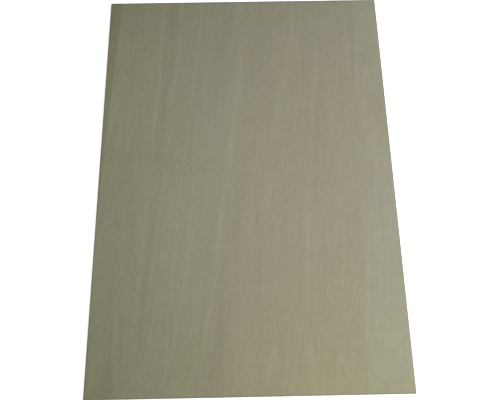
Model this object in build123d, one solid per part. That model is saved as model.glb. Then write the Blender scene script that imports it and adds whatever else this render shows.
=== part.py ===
from build123d import *

import os

# A thin sheet of three-ply plywood, faced with pale hardwood veneer and lying flat.
# Lengths are in millimetres. The sheet's length runs along Y, its width along X, and Z is up.
# The origin is on the underside, at the middle of the sheet.

# Driving dimensions

# along the grain of the face veneer, from the near edge to the far one
sheet_length = 420.0
# across the grain of the face veneer
sheet_width = 297.0
# face veneer, core and back veneer, glued and pressed into one board
sheet_thickness = 3.0
# the sawn edges and corners, eased by a light pass of fine abrasive paper
arris_radius = 0.3


def plywood_sheet():
    """The whole board as one solid, standing on the plane of its underside, with every edge eased."""
    blank = Box(
        sheet_width,
        sheet_length,
        sheet_thickness,
        align=(Align.CENTER, Align.CENTER, Align.MIN),
    )
    return fillet(blank.edges(), arris_radius)


os.makedirs("parts", exist_ok=True)
export_step(plywood_sheet(), "parts/plywood_sheet.step")
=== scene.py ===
import math

import bmesh
import bpy
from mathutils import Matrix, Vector


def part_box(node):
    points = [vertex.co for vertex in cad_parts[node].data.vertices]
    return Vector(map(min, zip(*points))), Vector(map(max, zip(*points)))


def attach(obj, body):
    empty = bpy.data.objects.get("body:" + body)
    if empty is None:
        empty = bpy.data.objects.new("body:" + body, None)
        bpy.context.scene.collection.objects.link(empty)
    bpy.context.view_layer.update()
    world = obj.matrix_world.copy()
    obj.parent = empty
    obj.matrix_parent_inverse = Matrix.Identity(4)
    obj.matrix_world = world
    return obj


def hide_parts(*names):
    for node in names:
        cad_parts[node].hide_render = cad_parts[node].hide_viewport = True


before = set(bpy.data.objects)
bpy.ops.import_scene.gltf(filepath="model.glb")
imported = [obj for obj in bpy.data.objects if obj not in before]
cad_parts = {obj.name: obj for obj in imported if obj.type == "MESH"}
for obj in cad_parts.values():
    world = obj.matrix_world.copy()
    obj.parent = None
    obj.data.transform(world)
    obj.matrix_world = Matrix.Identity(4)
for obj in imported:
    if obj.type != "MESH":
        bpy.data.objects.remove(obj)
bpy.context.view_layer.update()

# A thin plywood sheet that lies flat, veneered face up. Sizes are in metres, and its grain runs along Y
MM = 0.001
low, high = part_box("plywood_sheet")
WIDTH, LENGTH, THICKNESS = high - low
TOP = high.z

# The section of the board: three plies, pressed to the full thickness with a film of glue between them,
# and edges eased by ARRIS. A hair is less than any of these, to tell by depth which one a face is in
FACE_PLY = 0.8 * MM
GLUE = 0.08 * MM
CORE_PLY = THICKNESS - 2 * (FACE_PLY + GLUE)
ARRIS = 0.3 * MM
HAIR = 0.01 * MM
# How far the softer core and the glue lie behind the outer plies
CORE_RECESS = 0.03 * MM
GLUE_RECESS = 0.06 * MM
# How far in the saw's cut wanders, and over what length
SAW_WANDER = 0.06 * MM
WANDER_LENGTH = 9 * MM

# The blank is a grid of squares of about this size. Its edges that turn by more than one angle are eased,
# in this many facets, and those that turn by more than the other are shaded sharp
SQUARE = 3 * MM
EASED_FROM = math.radians(60)
ARRIS_FACETS = 3
SHARP_FROM = math.radians(40)

# The leaves of the face veneer: where each joint crosses the middle of the sheet, how far it leans with
# Y, and over what half width one leaf gives way to the next
LEFT_JOINT, LEFT_LEAN = -146.2 * MM, 0.049
RIGHT_JOINT, RIGHT_LEAN = 114.3 * MM, 0.045
JOINT_BLUR = 0.2 * MM

# A ramp is the two places that it runs between, and what it gives at each of them. The grain of the
# middle leaf leans more away from its left side, and less again by the right joint
LEAN_LEAST, LEAN_MOST = 0.050, 0.112
LEAN_GROWS = (-110 * MM, -20 * MM, LEAN_LEAST, LEAN_MOST)
LEAN_SHRINKS = (70 * MM, 110 * MM, LEAN_MOST, LEAN_LEAST)
# How much it bows towards the ends, how far it wanders, and in cells of how many millimetres
GRAIN_BOW = 0.05
GRAIN_WANDER = 1.6 * MM
GRAIN_WANDER_CELLS = (60, 90, 60)

# The figure of the veneer: long soft lenses of paler and darker wood. Each has its middle in millimetres
# from the left edge and from the far edge, its half width, its half length, the millimetres that it leans
# to the right in 100 towards the far edge, and the most steps of tone that it adds.
# The middle leaf, whose figure runs on over the narrow left one
MIDDLE_FIGURE = (
    # The first pale line from the left, with the dark band and the second line to its right
    (56.7, 90, 2.6, 160, 4.0, 5.8),
    (58.8, 18, 3.6, 48, 4, 2.4),
    (46.6, 278, 2.0, 110, 5.9, 4.4),
    (70, 40, 8, 130, 7, -3.2),
    (70, 14, 10, 38, 4, -2.2),
    (61, 170, 6, 95, 6.5, -3.4),
    (52.5, 295, 6, 130, 7, -3.4),
    (75, 80, 2.5, 190, 8.0, 4.2),
    (59.4, 275, 2.5, 120, 8.0, 4.4),
    (70, 290, 14, 130, 7.5, 1.4),
    # The lines between there and the broad pale one
    (95.7, 84, 2.7, 180, 9.0, 4.2),
    (79.6, 265, 3.0, 85, 7.0, 4.6),
    (73, 380, 2.8, 60, 0.8, 3.8),
    (109.5, 22, 2.6, 48, 9.0, 4.2),
    (97.6, 175, 2.8, 60, 5.8, 3.2),
    (90.4, 290, 4.4, 85, 7.0, 3.0),
    (95, 150, 3.2, 48, 8, -2.2),
    (92, 290, 22, 150, 8, 0.9),
    # The broad pale line, with the dark wood on both sides of it
    (144.5, 7, 9, 20, 0, 5.0),
    (144.6, 62, 3.9, 95, 7.2, 4.8),
    (135, 160, 4.0, 80, 11, 4.6),
    (122.8, 262, 3.4, 88, 12, 5.0),
    (110.5, 352, 3.4, 76, 15, 3.6),
    (126, 55, 16, 75, 8, -3.4),
    (139, 258, 5, 54, 8, -3.8),
    (136, 270, 8, 50, 8, -1.8),
    (123, 354, 10, 58, 6, -4.2),
    (115, 402, 16, 44, 4, -3.0),
    (150, 308, 8, 16, 0, -2.2),
    # The fan of pale bands in the middle
    (187, 115, 7.5, 95, 20, 2.3),
    (168, 235, 5.5, 78, 13, 2.2),
    (173, 228, 3, 62, 13, 2.4),
    (200, 156, 3.6, 30, 8, 2.2),
    (152, 262, 6.5, 44, 6, 2.0),
    (166, 66, 15, 75, 13, -2.4),
    # The lines in the right half of the leaf
    (200.5, 35, 3.4, 50, 13, 4.8),
    (207.3, 42, 2.4, 42, 15, 3.8),
    (222.5, 30, 3.0, 30, 6, 2.6),
    (220.9, 130, 2.2, 140, 10.5, 3.4),
    (226, 140, 5, 100, 10.5, -1.8),
    (206.5, 288, 2.4, 90, 6.2, 3.2),
    (227, 170, 7, 85, 8, -2.4),
    (212, 57, 4.5, 16, 8, -3.2),
    (212.5, 90, 4.5, 55, 8, -1.8),
    (231, 52, 3.5, 32, 8, -2.4),
    (267.8, 55, 2.5, 68, 5.5, -3.6),
    (266.5, 122, 2, 4, 0, -3.6),
    (264, 167, 2, 4, 0, -3.0),
    (265.2, 85, 2.6, 24, 3, -3.6),
    (254.9, 65, 2.2, 58, 4, -2.6),
    # Dark wood by the right joint, and the pale tips of flat-cut figure at the near end
    (252, 272, 14, 34, 4, -2.6),
    (250, 360, 10, 90, 3, -3.2),
    (230, 330, 32, 110, 5, -1.4),
    (146, 378, 14, 62, 3, 2.0),
    (169, 390, 5.4, 30, 18, 4.2),
    (204, 390, 7.5, 54, -3, 3.4),
    (207.5, 372, 2.4, 38, -13, -4.0),
    (237, 398, 5, 26, 0, 3.4),
    # The left side: pale by the joint, pale hair lines, and dark wood at the corners and the near half
    (8.5, 136, 5, 42, 4, 3.4),
    (17, 150, 4.5, 60, -6, 1.8),
    (3, 20, 13, 60, 0, -4.2),
    (26.3, 290, 2.4, 55, 0, 2.4),
    (25, 362, 2.2, 36, 0, 3.4),
    (21.4, 376, 2.4, 50, 0, -3.8),
    (6, 388, 2.6, 30, -10, 3.4),
    (20, 300, 36, 150, 3, -2.4),
    (18, 412, 18, 40, 0, -3.6),
    # A faint darker band across the grain
    (36, 188, 58, 12, 0, -3.0),
    (92, 199, 48, 15, 0, -2.2),
)
# The right leaf: pale at its far end and outer side, with the short marks of wood that is cut flatter
RIGHT_FIGURE = (
    (286, 22, 24, 58, 0, 4.2),
    (290, 220, 26, 150, 0, 1.6),
    (281, 77, 7, 18, -75, -2.4),
    (270.5, 88, 3, 14, 2, 3.4),
    (282, 102, 10, 28, -20, 2.6),
    (285, 138, 12, 14, 0, -1.6),
    (273, 153, 8, 9, 0, 2.4),
    (291, 160, 7, 18, 0, -2.0),
    (284, 182, 8, 32, -22, 2.2),
)
# The broad tone of all the leaves, with the fall of the light across the sheet painted into it
SHEET_TONE_AND_PAINTED_FALLOFF = (
    # Painted shade, darker at the left corners and along the far edge
    (0, 430, 150, 150, 0, -9.8),
    (0, 0, 120, 80, 0, -5.0),
    (115, 0, 140, 64, 0, -2.4),
    (148, 0, 900, 4, 0, -6.0),
    # Painted light, paler in the middle, at the far right and by the near edge
    (135, 190, 140, 210, 0, 3.4),
    (250, 85, 110, 130, 0, 2.0),
    (297, 50, 75, 110, 0, 1.8),
    (205, 425, 75, 60, 0, 3.0),
    # A little darker left of the middle, and in one faint band across the sheet and one along it
    (100, 50, 75, 90, 0, -1.3),
    (90, 350, 80, 90, 0, -1.6),
    (148, 303, 500, 42, 0, -1.0),
    (106, 210, 26, 330, 0, -1.1),
)
# Lenses of yellower, greyer and pinker wood, whose last number is the share of the tint
YELLOWER_WOOD = (
    (152, 225, 48, 120, 0, 0.42),
    (225, 350, 70, 70, 0, 0.3),
    (268, 408, 28, 52, 0, 0.55),
    (8, 420, 50, 50, 0, 0.45),
)
GREYER_WOOD = (
    (250, 0, 90, 110, 0, 0.5),
    (301, 270, 30, 190, 0, 0.55),
)
PINKER_WOOD = (
    (246, 62, 18, 40, 0, 0.5),
    (265, 90, 60, 60, 0, 0.3),
)

# The right leaf is cut flatter, so that its growth rings show as nested arcs, open towards the far edge.
# Here are the lowest point of one ring, how far the axis that they all hang on leans, how far apart they
# are, and how far each line fades to its sides
RING_X, RING_Y = 129 * MM, -171 * MM
RING_AXIS_LEAN = 0.11
RING_SPACING = 30.7 * MM
RING_WIDTH = 2.6 * MM
# How sharply they bend, as a ramp along the sheet, and how much steeper still their sides get, by the
# fourth power of the distance from the axis
RING_BEND = (-60 * MM, -190 * MM, 120, 30)
SIDES_STEEPEN = 3e4
# How far they wander, in cells of how many millimetres, and how well they show, as a ramp along the sheet
RING_WANDER = 2 * MM
RING_WANDER_CELLS = (14, 22, 14)
RINGS_SHOW = (20 * MM, -130 * MM, 0.2, 1)
# Beyond this height on the axis they are counted at this share of the pace, and so lie further apart
SPREAD_FROM = -80 * MM
SPREAD_PACE = 0.65

# A tone of 0 is the dark wood and 1 is the pale, and it may go past either. They are this many steps of
# tone apart, each of them about one level of an 8-bit picture. Every tone starts halfway
TONE_STEPS = 32
HALFWAY = 0.5
# The lenses of the middle leaf overlap and soften one another, so their figure is made this much stronger
MIDDLE_STRENGTH = 1.15
# The steps that the side leaves, the fine lines of the joints, the rings, the flecks and the fibres add
LEFT_LEAF_TONE, RIGHT_LEAF_TONE = -8.6, 3.2
LEFT_LINE_TONE, RIGHT_LINE_TONE = -1.5, -2.5
RING_TONE = -1.2
FLECK_TONE = -3.5
FIBRE_TONE, FINE_FIBRE_TONE = 6.2, 4
# The right leaf comes to its own tone along this ramp, and a joint's line fades between these distances
RIGHT_LEAF_PALES = (0, -170 * MM, 0.25, 1)
JOINT_LINE = (0.1 * MM, 0.6 * MM)
# The rim, darkened partly by the saw and partly with painted shade along the edges: where it begins and
# is full, in from the edge, and its steps of tone. The eased edge itself has more, also partly painted
# shade
RIM_FROM, RIM_TO = 1.5 * MM, 0.6 * MM
RIM_SAWN_AND_SHADE_TONE, ARRIS_SAWN_AND_SHADE_TONE = -6, -9

# The two values of a noise that give the least and the most tone: the usual ones, those of the fibres,
# which are softer, those of the patches in the glue, which are harder, and those of flecks, its peaks
NOISE = (0.3, 0.7)
SOFT_NOISE = (0.25, 0.75)
HARD_NOISE = (0.35, 0.65)
PEAKS = (0.62, 0.75)

# The patterns of the veneers: the size of their cells in millimetres along X, Y and Z, and for bands,
# streaks and mottling the most steps of tone that each gives or takes. Real birch pores and fibres are
# under 0.1 mm wide: the flecks and the coarse fibres are drawn wider to show from a distance, and the
# fine ones are there for close up
FACE_PATTERNS = (
    ((22, 200, 22), 0.6),
    ((4, 70, 4), 1.5),
    ((9, 14, 9), 1.0),
    ((2.2, 40, 2.2), 1.8),
    ((1.2, 1.2, 1.2), 2.3),
)
FLECKS = (1.1, 4, 1.1)
FIBRES = (0.7, 6.5, 0.7)
FINE_FIBRES = (0.15, 4, 0.15)
BACK_PATTERNS = (
    ((30, 500, 30), 4),
    ((5, 220, 5), 4),
)
BACK_WANDER = 6 * MM
BACK_WANDER_CELLS = (50, 120, 50)
BACK_FLECKS = (1.8, 6, 1.8)
BACK_FIBRES = (0.8, 7, 0.8)

# Tints of the face, which the colour of the wood is multiplied by
BROWN = "#FFFCF8"
PINK = "#FFFBFC"
GREY = "#F9F9FF"
# The ramps that their shares follow: across the grain, across the sheet and along it
HEART_SIDE_PINK = (-26 * MM, -2 * MM, 0, 1)
# The painted warm light grows to the right along this ramp
YELLOW_TO_RIGHT = (-115 * MM, 45 * MM, 0.25, 1)
# Painted light: the left of the sheet duller and less blue, for cooler light on its right side
PAINTED_LIGHT_DULL_TO_LEFT = (-30 * MM, -130 * MM, 0, 1)
RIGHT_LEAF_PINK = (-60 * MM, 60 * MM, 0, 0.7)
PINK_TO_NEAR = (200 * MM, 60 * MM, 0.5, 1)
# Painted warm light, yellower towards the near end
WARM_LIGHT_TO_NEAR = (-20 * MM, -210 * MM, 0, 1)
RIGHT_LEAF_GREY = (50 * MM, -130 * MM, 0.25, 0.85)
LEFT_LEAF_BROWN = (210 * MM, 120 * MM, 0.1, 1)
# Those that follow the place between one ring and the next, and the noise of the blotches
YELLOW_OUTSIDE_RING = (0, 1, -0.4, 0.4)
BLOTCHES = (16, 22, 16)
WARM_BLOTCH = (0.35, 0.7, 0, 1)
COOL_BLOTCH = (0.65, 0.3, 0, 1)

# Wood as a shader: how deep the fibres lie, how much of that shows, and its index of refraction
FIBRE_DEPTH = 0.05 * MM
FIBRE_BUMP = 0.35
WOOD_IOR = 1.45
# The sockets of a Mix node that mixes colours
SHARE, FIRST_COLOUR, SECOND_COLOUR = 0, 6, 7

# The camera looks down on the face from above its near edge. Its turn is in degrees, and its focal length
# in pixels of a picture of this width
CAMERA_PLACE = (-0.7 * MM, -193.2 * MM, 516.7 * MM)
CAMERA_TURN = (18.07, -0.10, -1.08)
SENSOR_WIDTH = 36
IMAGE_WIDTH = 500
FOCAL_PIXELS = 543.6
NEAREST_SEEN = 10 * MM

# The light is an even fill, and a square soft lamp out to the right. The floor lies just under the board,
# and glows this much where it is seen, to show as white, but gives the board none of that light
FILL = 0.214
LAMP_PLACE = (0.45, -0.15, 0.62)
LAMP_SIZE = 0.35
LAMP_WATTS = 5.05
FLOOR_SIZE = 8
FLOOR_DROP = 0.1 * MM
FLOOR_GLOW = 0.8


# Mesh

def pick(board, kind, test):
    """Selects only the faces or edges of the board, in edit mode, that pass the test."""
    mesh = bmesh.from_edit_mesh(board.data)
    bpy.ops.mesh.select_mode(type=kind)
    bpy.ops.mesh.select_all(action="DESELECT")
    for part in mesh.faces if kind == "FACE" else mesh.edges:
        part.select_set(test(part))
    bmesh.update_edit_mesh(board.data)


def between(face, top, bottom):
    """Whether the middle of a face lies between two depths below the top."""
    return top < TOP - face.calc_center_median().z < bottom


def in_core(face):
    """Whether a face lies in the core ply."""
    return between(face, FACE_PLY + GLUE, FACE_PLY + GLUE + CORE_PLY)


def in_glue(face):
    """Whether a face lies in either glue line, its grooves' own walls included."""
    lines = (FACE_PLY, FACE_PLY + GLUE + CORE_PLY)
    return any(between(face, line - HAIR, line + GLUE + HAIR) for line in lines)


def blank_board():
    """A grid the size of the sheet, drawn down ply by ply, so that each glue line is a band round it."""
    bpy.ops.object.select_all(action="DESELECT")
    bpy.ops.mesh.primitive_grid_add(
        x_subdivisions=round(WIDTH / SQUARE),
        y_subdivisions=round(LENGTH / SQUARE),
        size=1,
        location=(0, 0, TOP),
    )
    board = bpy.context.active_object
    board.name = "veneered_board"
    board.data.name = "veneered_board"
    board.scale = (WIDTH, LENGTH, 1)
    bpy.ops.object.transform_apply(location=True, rotation=True, scale=True)
    bpy.ops.object.mode_set(mode="EDIT")
    bpy.ops.mesh.select_all(action="SELECT")
    for ply in (FACE_PLY, GLUE, CORE_PLY, GLUE, FACE_PLY):
        bpy.ops.mesh.extrude_region_move(TRANSFORM_OT_translate={"value": (0, 0, -ply)})
    bpy.ops.mesh.select_all(action="SELECT")
    bpy.ops.mesh.normals_make_consistent(inside=False)
    return board


def saw_the_sides(board):
    """Eases every edge, and lets the saw's cut wander inwards."""
    pick(board, "EDGE", lambda edge: edge.calc_face_angle(0) > EASED_FROM)
    bpy.ops.mesh.bevel(offset=ARRIS, offset_type="OFFSET", segments=ARRIS_FACETS, affect="EDGES")
    bpy.ops.object.mode_set(mode="OBJECT")

    rim = board.vertex_groups.new(name="sawn_sides")
    rim_x, rim_y = WIDTH / 2 - 2 * ARRIS, LENGTH / 2 - 2 * ARRIS
    at_rim = [v.index for v in board.data.vertices if abs(v.co.x) > rim_x or abs(v.co.y) > rim_y]
    rim.add(at_rim, 1, "REPLACE")
    wander = bpy.data.textures.new("saw_wander", "CLOUDS")
    wander.noise_scale = WANDER_LENGTH
    cut = board.modifiers.new("saw_wander", "DISPLACE")
    cut.texture = wander
    cut.texture_coords = "LOCAL"
    cut.vertex_group = rim.name
    cut.mid_level = 1
    cut.strength = SAW_WANDER
    bpy.ops.object.modifier_apply(modifier=cut.name)
    board.vertex_groups.clear()
    bpy.data.textures.remove(wander)


def sink_the_middle(board):
    """Cuts the glue lines as grooves, and sinks the core a little behind the outer plies."""
    bpy.ops.object.mode_set(mode="EDIT")
    pick(board, "FACE", in_glue)
    bpy.ops.mesh.extrude_region_shrink_fatten(TRANSFORM_OT_shrink_fatten={"value": -GLUE_RECESS})
    pick(board, "FACE", in_core)
    bpy.ops.transform.shrink_fatten(value=-CORE_RECESS)
    bpy.ops.object.mode_set(mode="OBJECT")
    bpy.ops.object.shade_smooth_by_angle(angle=SHARP_FROM)


def finish_faces(board, finishes):
    """Gives each material to the faces that pass its test, and to a face that passes two the later one."""
    bpy.ops.object.mode_set(mode="EDIT")
    for index, (material, test) in enumerate(finishes):
        board.data.materials.append(material)
        board.active_material_index = index
        pick(board, "FACE", test)
        bpy.ops.object.material_slot_assign()
    bpy.ops.object.mode_set(mode="OBJECT")


# Materials

def linear(code):
    """A colour written as #rrggbb, turned linear."""
    parts = [int(code[i:i + 2], 16) / 255 for i in (1, 3, 5)]
    return [p / 12.92 if p <= 0.04045 else ((p + 0.055) / 1.055) ** 2.4 for p in parts] + [1]


def add(tree, kind, inputs=(), **settings):
    """Adds a node, with its settings, and what is on its sockets: numbers, colours or other nodes' outputs.
    It gives back the first output that is in use."""
    made = tree.nodes.new("ShaderNode" + kind)
    for name, value in settings.items():
        setattr(made, name, value)
    for socket, value in inputs.items() if isinstance(inputs, dict) else enumerate(inputs):
        if isinstance(value, bpy.types.NodeSocket):
            tree.links.new(value, made.inputs[socket])
        else:
            made.inputs[socket].default_value = value
    return next((output for output in made.outputs if output.enabled), None)


def new_material(name):
    """An empty material: it, its nodes, and the X, Y and Z of the board at each point."""
    material = bpy.data.materials.new(name)
    material.use_nodes = True
    tree = material.node_tree
    tree.nodes.clear()
    where = tree.nodes.new("ShaderNodeTexCoord").outputs["Object"]
    return material, tree, add(tree, "SeparateXYZ", (where,)).node.outputs


def toned(tree, tone, pattern, first, last, ends=(0, 1)):
    """The tone with a pattern added: first steps where it is at one of its ends, and last at the other."""
    steps = add(tree, "MapRange", (pattern, *ends, first / TONE_STEPS, last / TONE_STEPS))
    return add(tree, "Math", (tone, steps), operation="ADD")


def mottled(tree, tone, noise, steps, ends=NOISE):
    """The tone with a noise added: so many steps darker where it is low, and paler where it is high."""
    return toned(tree, tone, noise, -steps, steps, ends)


def cells(tree, place, size, **noise):
    """Noise with cells of that many millimetres along X, Y and Z."""
    vector = add(tree, "CombineXYZ", place)
    per_metre = [1 / (mm * MM) for mm in size]
    scaled = add(tree, "VectorMath", (vector, per_metre), operation="MULTIPLY")
    return add(tree, "TexNoise", {"Vector": scaled, "Scale": 1, "Detail": 2, **noise})


def beside(tree, x, y, joint, lean):
    """How far a point lies to the right of a leaf's joint."""
    at_joint = add(tree, "Math", (y, lean, joint), operation="MULTIPLY_ADD")
    return add(tree, "Math", (x, at_joint), operation="SUBTRACT")


def figure(tree, place, lenses):
    """What the lenses of a table add up to at a point: steps of tone, or the share of a tint."""
    total = 0
    for left, down, half_width, half_length, lean, most in lenses:
        seen = add(tree, "Mapping", {
            "Vector": place,
            "Location": (left * MM - WIDTH / 2, LENGTH / 2 - down * MM, 0),
            "Rotation": (0, 0, -math.atan(lean / 100)),
            "Scale": (half_width * MM, half_length * MM, 1),
        }, vector_type="TEXTURE")
        inside = add(tree, "TexGradient", (seen,), gradient_type="SPHERICAL").node.outputs["Fac"]
        soft = add(tree, "MapRange", (inside, 0, 1, 0, 1), interpolation_type="SMOOTHSTEP")
        total = add(tree, "Math", (soft, most, total), operation="MULTIPLY_ADD")
    return total


def rings(tree, x, y, z):
    """The growth rings, each hung on the axis at its own height: how much of a ring's thin line there is at
    a point, and where it lies between two rings, from 1 just outside one to 0 just inside the next."""
    below = add(tree, "Math", (RING_Y, y), operation="SUBTRACT")
    axis = add(tree, "Math", (below, -RING_AXIS_LEAN, RING_X), operation="MULTIPLY_ADD")
    off_axis = add(tree, "Math", (x, axis), operation="SUBTRACT")
    squared = add(tree, "Math", (off_axis, off_axis), operation="MULTIPLY")
    bend = add(tree, "MapRange", (y, *RING_BEND))
    hung = add(tree, "Math", (squared, bend, below), operation="MULTIPLY_ADD")
    steep = add(tree, "Math", (squared, squared), operation="MULTIPLY")
    hung = add(tree, "Math", (steep, SIDES_STEEPEN, hung), operation="MULTIPLY_ADD")
    wander = cells(tree, (x, y, z), RING_WANDER_CELLS)
    uneven = add(tree, "MapRange", (wander, *NOISE, -RING_WANDER, RING_WANDER))
    hung = add(tree, "Math", (hung, uneven), operation="ADD")
    spread_start = (SPREAD_PACE - 1) * (SPREAD_FROM - RING_Y)
    spread = add(tree, "Math", (hung, SPREAD_PACE, spread_start), operation="MULTIPLY_ADD")
    hung = add(tree, "Math", (hung, spread), operation="MAXIMUM")
    off_ring = add(tree, "Math", (hung, RING_SPACING / 2), operation="PINGPONG")
    faded = add(tree, "MapRange", (y, *RINGS_SHOW))
    line = add(tree, "MapRange", (off_ring, 0, RING_WIDTH, 1, 0), interpolation_type="SMOOTHSTEP")
    line = add(tree, "Math", (line, faded), operation="MULTIPLY")
    past = add(tree, "Math", (hung, RING_SPACING, 0), operation="WRAP")
    return line, add(tree, "MapRange", (past, 0, RING_SPACING, 1, 0))


def wood_surface(tree, tone, dark, pale, bump, roughness=0.62, tints=()):
    """Turns tone into colour, from a dark wood at 0 to a pale one at 1, tints it, and adds the fibres."""
    colour = add(tree, "Mix", {
        SHARE: tone,
        FIRST_COLOUR: linear(dark),
        SECOND_COLOUR: linear(pale),
    }, data_type="RGBA", clamp_factor=False)
    for share, tint in tints:
        colour = add(tree, "Mix", {
            SHARE: share,
            FIRST_COLOUR: colour,
            SECOND_COLOUR: linear(tint),
        }, data_type="RGBA", blend_type="MULTIPLY")
    height = add(tree, "Bump", {"Strength": FIBRE_BUMP, "Distance": FIBRE_DEPTH, "Height": bump})
    shader = add(tree, "BsdfPrincipled", {
        "Base Color": colour,
        "Roughness": roughness,
        "IOR": WOOD_IOR,
        "Normal": height,
    })
    add(tree, "OutputMaterial", {"Surface": shader})


def grain(tree, x, y, z):
    """How far across the grain a point lies, for streaks and fibres, and how far the grain wanders."""
    rising = add(tree, "MapRange", (x, *LEAN_GROWS))
    falling = add(tree, "MapRange", (x, *LEAN_SHRINKS))
    lean = add(tree, "Math", (rising, falling), operation="MINIMUM")
    leaned = add(tree, "Math", (lean, y), operation="MULTIPLY")
    straight = add(tree, "Math", (x, leaned), operation="SUBTRACT")
    squared = add(tree, "Math", (y, y), operation="MULTIPLY")
    bowed = add(tree, "Math", (squared, GRAIN_BOW, straight), operation="MULTIPLY_ADD")
    wander = cells(tree, (x, y, z), GRAIN_WANDER_CELLS, Detail=1)
    shift = add(tree, "MapRange", (wander, *NOISE, -GRAIN_WANDER / 2, GRAIN_WANDER / 2))
    return add(tree, "Math", (bowed, shift), operation="ADD"), shift


def pink_share(tree, across, y, left_and_middle):
    """Pinker wood on the middle leaf's heart side and the right leaf's far half, less by the far edge."""
    share = add(tree, "MapRange", (across, *HEART_SIDE_PINK))
    leaves = add(tree, "MapRange", (y, *RIGHT_LEAF_PINK))
    leaves = add(tree, "Math", (leaves, left_and_middle), operation="MAXIMUM")
    share = add(tree, "Math", (share, leaves), operation="MULTIPLY")
    nearer = add(tree, "MapRange", (y, *PINK_TO_NEAR))
    return add(tree, "Math", (share, nearer), operation="MULTIPLY")


def warm_light_and_ring_share(tree, x, y, after_ring, right_leaf):
    """Painted warm light, yellower towards the near end and more so to the right, and yellower wood just
    outside each ring.
    """
    share = add(tree, "MapRange", (y, *WARM_LIGHT_TO_NEAR))
    to_right = add(tree, "MapRange", (x, *YELLOW_TO_RIGHT))
    share = add(tree, "Math", (share, to_right), operation="MULTIPLY")
    ring_side = add(tree, "MapRange", (after_ring, *YELLOW_OUTSIDE_RING))
    ring_side = add(tree, "Math", (ring_side, right_leaf, 1), operation="MULTIPLY_ADD")
    return add(tree, "Math", (share, ring_side), operation="MULTIPLY")


def leaf_share(tree, y, ramp, leaf):
    """A tint of one leaf, by its ramp along the sheet."""
    share = add(tree, "MapRange", (y, *ramp))
    return add(tree, "Math", (share, leaf), operation="MULTIPLY")


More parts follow.
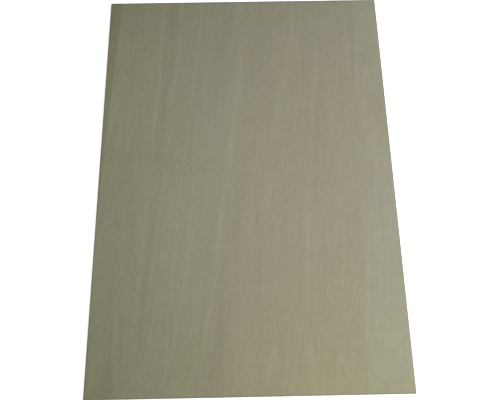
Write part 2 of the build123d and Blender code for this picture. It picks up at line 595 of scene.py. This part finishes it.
def face_veneer():
    """Birch veneer, knife cut and fine sanded: pale, close and matte, in three faintly streaked leaves."""
    material, tree, (x, y, z) = new_material("sanded_birch_face_veneer")
    across, shift = grain(tree, x, y, z)

    # The leaves: 1 inside each and 0 outside. The figure of the middle one runs on over the left one
    from_left = beside(tree, x, y, LEFT_JOINT, LEFT_LEAN)
    from_right = beside(tree, x, y, RIGHT_JOINT, RIGHT_LEAN)
    left_leaf = add(tree, "MapRange", (from_left, -JOINT_BLUR, JOINT_BLUR, 1, 0))
    right_leaf = add(tree, "MapRange", (from_right, -JOINT_BLUR, JOINT_BLUR, 0, 1))
    left_and_middle = add(tree, "Math", (1, right_leaf), operation="SUBTRACT")

    # The figure, with lines that are not quite straight
    wandered = add(tree, "Math", (x, shift), operation="ADD")
    place = add(tree, "CombineXYZ", (wandered, y, 0))
    middle_figure = figure(tree, place, MIDDLE_FIGURE)
    ring, after_ring = rings(tree, x, y, z)
    right_figure = figure(tree, place, RIGHT_FIGURE)
    right_figure = add(tree, "Math", (ring, RING_TONE, right_figure), operation="MULTIPLY_ADD")
    # The broad tone of the sheet, with painted shade and painted light for the fall of the light across it
    sheet_tone_and_falloff = figure(tree, place, SHEET_TONE_AND_PAINTED_FALLOFF)
    tone = add(tree, "Math", (sheet_tone_and_falloff, 1 / TONE_STEPS, HALFWAY), operation="MULTIPLY_ADD")
    for steps, leaf, strength in (
        (middle_figure, left_and_middle, MIDDLE_STRENGTH),
        (right_figure, right_leaf, 1),
    ):
        steps = add(tree, "Math", (steps, leaf), operation="MULTIPLY")
        tone = add(tree, "Math", (steps, strength / TONE_STEPS, tone), operation="MULTIPLY_ADD")

    # Bands, streaks, mottling, flecks and fibres, all along the grain
    along_grain = (across, y, z)
    for size, steps in FACE_PATTERNS:
        tone = mottled(tree, tone, cells(tree, along_grain, size), steps)
    tone = toned(tree, tone, cells(tree, along_grain, FLECKS), 0, FLECK_TONE, ends=PEAKS)
    fibres = cells(tree, along_grain, FIBRES, Detail=3)
    tone = mottled(tree, tone, fibres, FIBRE_TONE, ends=SOFT_NOISE)
    tone = mottled(tree, tone, cells(tree, along_grain, FINE_FIBRES), FINE_FIBRE_TONE)

    # The side leaves' own tones, and the fine dark line of each joint
    tone = toned(tree, tone, left_leaf, 0, LEFT_LEAF_TONE)
    tone = toned(tree, tone, leaf_share(tree, y, RIGHT_LEAF_PALES, right_leaf), 0, RIGHT_LEAF_TONE)
    for distance, dark in ((from_left, LEFT_LINE_TONE), (from_right, RIGHT_LINE_TONE)):
        off_line = add(tree, "Math", (distance,), operation="ABSOLUTE")
        tone = toned(tree, tone, off_line, dark, 0, ends=JOINT_LINE)

    # The rim and the eased edges, darker from the saw and from painted shade
    rim = 0
    for along, half in ((x, WIDTH / 2), (y, LENGTH / 2)):
        off_middle = add(tree, "Math", (along,), operation="ABSOLUTE")
        at_rim = add(tree, "MapRange", (off_middle, half - RIM_FROM, half - RIM_TO, 0, 1))
        rim = add(tree, "Math", (at_rim, rim), operation="MAXIMUM")
        tone = toned(tree, tone, off_middle, 0, ARRIS_SAWN_AND_SHADE_TONE, ends=(half - ARRIS, half - ARRIS / 2))
    tone = toned(tree, tone, rim, 0, RIM_SAWN_AND_SHADE_TONE)

    # Tints: the left leaf is browner, the right one greyer, with warm rings, painted warm light towards the
    # near end and painted cooler light to the right, and blotches lie over it all
    pinker = pink_share(tree, across, y, left_and_middle)
    warm_light_and_ring = warm_light_and_ring_share(tree, x, y, after_ring, right_leaf)
    ring = add(tree, "Math", (ring, right_leaf), operation="MULTIPLY")
    greyer = leaf_share(tree, y, RIGHT_LEAF_GREY, right_leaf)
    browner = leaf_share(tree, y, LEFT_LEAF_BROWN, left_leaf)
    # The left side duller, painted in place of cooler light on the right
    painted_light_duller = add(tree, "MapRange", (x, *PAINTED_LIGHT_DULL_TO_LEFT))
    blotch = cells(tree, (x, y, z), BLOTCHES, Detail=1)
    warm = add(tree, "MapRange", (blotch, *WARM_BLOTCH))
    cool = add(tree, "MapRange", (blotch, *COOL_BLOTCH))
    wood_surface(tree, tone, "#85806A", "#A1A08A", fibres, tints=(
        (browner, BROWN),
        (pinker, PINK),
        (warm_light_and_ring, "#FFFFEC"),
        (greyer, GREY),
        (painted_light_duller, "#FDFFF8"),
        (warm, "#FFFDFB"),
        (cool, "#FDFFFE"),
        (ring, "#FFFAFA"),
        # The rim tinted bluer, as part of its painted shade
        (rim, "#ECF0FF"),
        (figure(tree, place, YELLOWER_WOOD), "#FFFFF6"),
        (figure(tree, place, GREYER_WOOD), GREY),
        (figure(tree, place, PINKER_WOOD), PINK),
    ))
    return material


def back_veneer():
    """Birch veneer of the second grade: straight grained, a little darker, and sanded less finely."""
    material, tree, (x, y, z) = new_material("birch_back_veneer")
    wander = cells(tree, (x, y, z), BACK_WANDER_CELLS, Detail=1)
    shift = add(tree, "MapRange", (wander, *NOISE, -BACK_WANDER, BACK_WANDER))
    across = add(tree, "Math", (x, shift), operation="ADD")
    along_grain = (across, y, z)
    tone = HALFWAY
    for size, steps in BACK_PATTERNS:
        tone = mottled(tree, tone, cells(tree, along_grain, size), steps)
    tone = toned(tree, tone, cells(tree, along_grain, BACK_FLECKS), 0, -5, ends=PEAKS)
    fibres = cells(tree, along_grain, BACK_FIBRES, Detail=3)
    tone = mottled(tree, tone, fibres, steps=5, ends=SOFT_NOISE)
    wood_surface(tree, tone, "#7E7962", "#9C9780", fibres, roughness=0.7)
    return material


def long_grain():
    """A ply sawn along its fibres: pale, with fine lines that run the length of the side."""
    material, tree, place = new_material("birch_ply_sawn_along_the_grain")
    fibres = cells(tree, place, size=(14, 14, 0.14))
    tone = mottled(tree, HALFWAY, fibres, steps=8)
    tone = mottled(tree, tone, cells(tree, place, size=(5, 5, 2)), steps=3)
    wood_surface(tree, tone, "#807B64", "#A29D86", fibres, roughness=0.75)
    return material


def end_grain():
    """A ply sawn across its fibres: darker, as cut pores drink the light, and scored by the saw's teeth."""
    material, tree, place = new_material("birch_ply_sawn_across_the_grain")
    pores = cells(tree, place, size=(0.25, 0.25, 0.25))
    tone = mottled(tree, HALFWAY, pores, steps=7)
    scores = cells(tree, place, size=(0.5, 0.5, 6))
    tone = mottled(tree, tone, scores, steps=6)
    wood_surface(tree, tone, "#635D49", "#8A846C", pores, roughness=0.85)
    return material


def glue_line():
    """Urea glue, squeezed thin and cured hard: a fine brown line, broken where it starved."""
    material, tree, place = new_material("cured_urea_glue_line")
    patches = cells(tree, place, size=(3, 3, 1))
    tone = mottled(tree, HALFWAY, patches, steps=14, ends=HARD_NOISE)
    wood_surface(tree, tone, "#4C4331", "#7A7058", patches, roughness=0.5)
    return material


def finish_board(board):
    """The veneers on the broad faces and half of each eased edge, and the plies and glue on the sides."""
    side_top, side_bottom = ARRIS / 2, THICKNESS - ARRIS / 2

    def along_grain(face):
        """Whether the saw ran along the fibres here: those of the core cross the others."""
        on_ends = abs(face.normal.y) > abs(face.normal.x)
        return in_core(face) == on_ends

    finish_faces(board, (
        (face_veneer(), lambda face: between(face, -HAIR, side_top)),
        (back_veneer(), lambda face: between(face, side_bottom, THICKNESS + HAIR)),
        (long_grain(), lambda face: between(face, side_top, side_bottom) and along_grain(face)),
        (end_grain(), lambda face: between(face, side_top, side_bottom) and not along_grain(face)),
        (glue_line(), in_glue),
    ))


# Floor, light and camera

def seen_directly(tree):
    """1 on rays from the camera, and on those that mirror or pass on what it sees."""
    paths = tree.nodes.new("ShaderNodeLightPath").outputs
    either = add(tree, "Math", (paths["Is Camera Ray"], paths["Is Glossy Ray"]), operation="MAXIMUM")
    return add(tree, "Math", (either, paths["Is Transmission Ray"]), operation="MAXIMUM")


def pale_floor():
    """A wide white card that shows as white, and still takes the board's shadow."""
    bpy.ops.mesh.primitive_plane_add(size=FLOOR_SIZE, location=(0, 0, -FLOOR_DROP))
    floor = bpy.context.active_object
    floor.name = "floor"
    material = bpy.data.materials.new("white_card_floor")
    material.use_nodes = True
    tree = material.node_tree
    tree.nodes.clear()
    card = add(tree, "BsdfDiffuse", {"Color": linear("#E8E8E8")})
    glow = add(tree, "Emission", {"Strength": FLOOR_GLOW})
    lit = add(tree, "AddShader", (card, glow))
    surface = add(tree, "MixShader", (seen_directly(tree), card, lit))
    add(tree, "OutputMaterial", {"Surface": surface})
    floor.data.materials.append(material)


def room_light():
    """An even fill from all round, with a white backdrop behind it."""
    world = bpy.data.worlds.new("white_room")
    bpy.context.scene.world = world
    world.use_nodes = True
    tree = world.node_tree
    tree.nodes.clear()
    strength = add(tree, "MapRange", (seen_directly(tree), 0, 1, FILL, 1))
    backdrop = add(tree, "Background", {"Color": (1, 1, 1, 1), "Strength": strength})
    add(tree, "OutputWorld", {"Surface": backdrop})


def softbox():
    """A square soft lamp, like a window out to the right, aimed at the middle of the board."""
    lamp = bpy.data.lights.new("window_side_softbox", "AREA")
    lamp.shape = "SQUARE"
    lamp.size = LAMP_SIZE
    lamp.energy = LAMP_WATTS
    holder = bpy.data.objects.new("window_side_softbox", lamp)
    bpy.context.scene.collection.objects.link(holder)
    holder.location = LAMP_PLACE
    holder.rotation_euler = (-Vector(LAMP_PLACE)).to_track_quat("-Z", "Y").to_euler()
    holder.visible_camera = False


def camera():
    """The camera, in the place that the photograph was taken from."""
    data = bpy.data.cameras.new("camera")
    data.sensor_width = SENSOR_WIDTH
    data.lens = FOCAL_PIXELS / IMAGE_WIDTH * SENSOR_WIDTH
    data.clip_start = NEAREST_SEEN
    holder = bpy.data.objects.new("camera", data)
    bpy.context.scene.collection.objects.link(holder)
    holder.location = CAMERA_PLACE
    holder.rotation_euler = [math.radians(turn) for turn in CAMERA_TURN]
    bpy.context.scene.camera = holder


board = blank_board()
saw_the_sides(board)
sink_the_middle(board)
finish_board(board)
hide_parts("plywood_sheet")
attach(board, "root")

pale_floor()
room_light()
softbox()
camera()
bpy.context.scene.view_settings.view_transform = "Standard"
